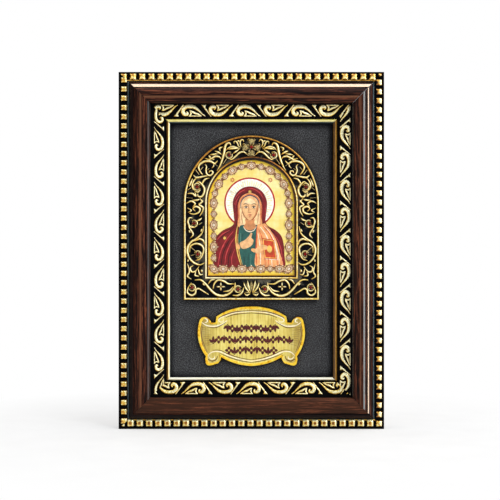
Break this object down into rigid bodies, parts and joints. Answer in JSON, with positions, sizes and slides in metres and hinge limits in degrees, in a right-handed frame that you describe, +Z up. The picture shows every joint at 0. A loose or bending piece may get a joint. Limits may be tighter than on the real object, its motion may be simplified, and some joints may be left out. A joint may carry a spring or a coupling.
{
  "type": "religious icon",
  "caption": "Small framed icon: arched picture in a cast surround set with stones, above a scroll-shaped title plate on a dark mat, in a moulded and gilt frame.",
  "frame": {"origin": "middle of the flat lower face of the frame, on which it stands", "axes": "+X to the right seen from the front, +Z up, the picture faces -Y"},
  "size_m": [0.145, 0.0212, 0.195],
  "materials": {
    "moulding": "lacquered, with gilt ornament",
    "wedge_steel": "plain",
    "suede_board": "suede covered",
    "hardboard": "raw hardboard",
    "antique_brass": "antiqued cast",
    "printed_panel": "gold print, satin",
    "garnet": "faceted",
    "foam_tape": "foam",
    "gilt_brass": "gilt, etched",
    "screw_steel": "zinc plated",
    "button_steel": "black enamel",
    "hanger_brass": "brass plated"
  },
  "bodies": {
    "root": {"rail_top": "moulding", "rail_bottom": "moulding", "rail_left": "moulding", "rail_right": "moulding", "v_nails": "wedge_steel", "mat_board": "suede_board", "backing_board": "hardboard", "arch_plaque": "antique_brass", "icon_panel": "printed_panel", "garnets": "garnet", "plaque_pads": "foam_tape", "cartouche": "gilt_brass", "cartouche_pads": "foam_tape", "button_screws": "screw_steel", "hanger_plate": "hanger_brass", "hanger_screw": "screw_steel"},
    "turn_button_lower_left": {"turn_button_lower_left": "button_steel"},
    "turn_button_upper_left": {"turn_button_upper_left": "button_steel"},
    "turn_button_lower_right": {"turn_button_lower_right": "button_steel"},
    "turn_button_upper_right": {"turn_button_upper_right": "button_steel"},
    "hanger_ring": {"hanger_ring": "hanger_brass"}
  },
  "joints": [
    {"name": "turn_button_lower_left_turn", "type": "hinge", "parent": "root", "child": "turn_button_lower_left", "pos_m": [-0.0545, 0.0064, 0.0475], "axis": [0, 1, 0], "continuous": true},
    {"name": "turn_button_upper_left_turn", "type": "hinge", "parent": "root", "child": "turn_button_upper_left", "pos_m": [-0.0545, 0.0064, 0.1475], "axis": [0, 1, 0], "continuous": true},
    {"name": "turn_button_lower_right_turn", "type": "hinge", "parent": "root", "child": "turn_button_lower_right", "pos_m": [0.0545, 0.0064, 0.0475], "axis": [0, 1, 0], "continuous": true},
    {"name": "turn_button_upper_right_turn", "type": "hinge", "parent": "root", "child": "turn_button_upper_right", "pos_m": [0.0545, 0.0064, 0.1475], "axis": [0, 1, 0], "continuous": true},
    {"name": "hanger_ring_swing", "type": "hinge", "parent": "root", "child": "hanger_ring", "pos_m": [0, 0.00785, 0.184], "axis": [1, 0, 0], "range_deg": [0, 180]}
  ]
}
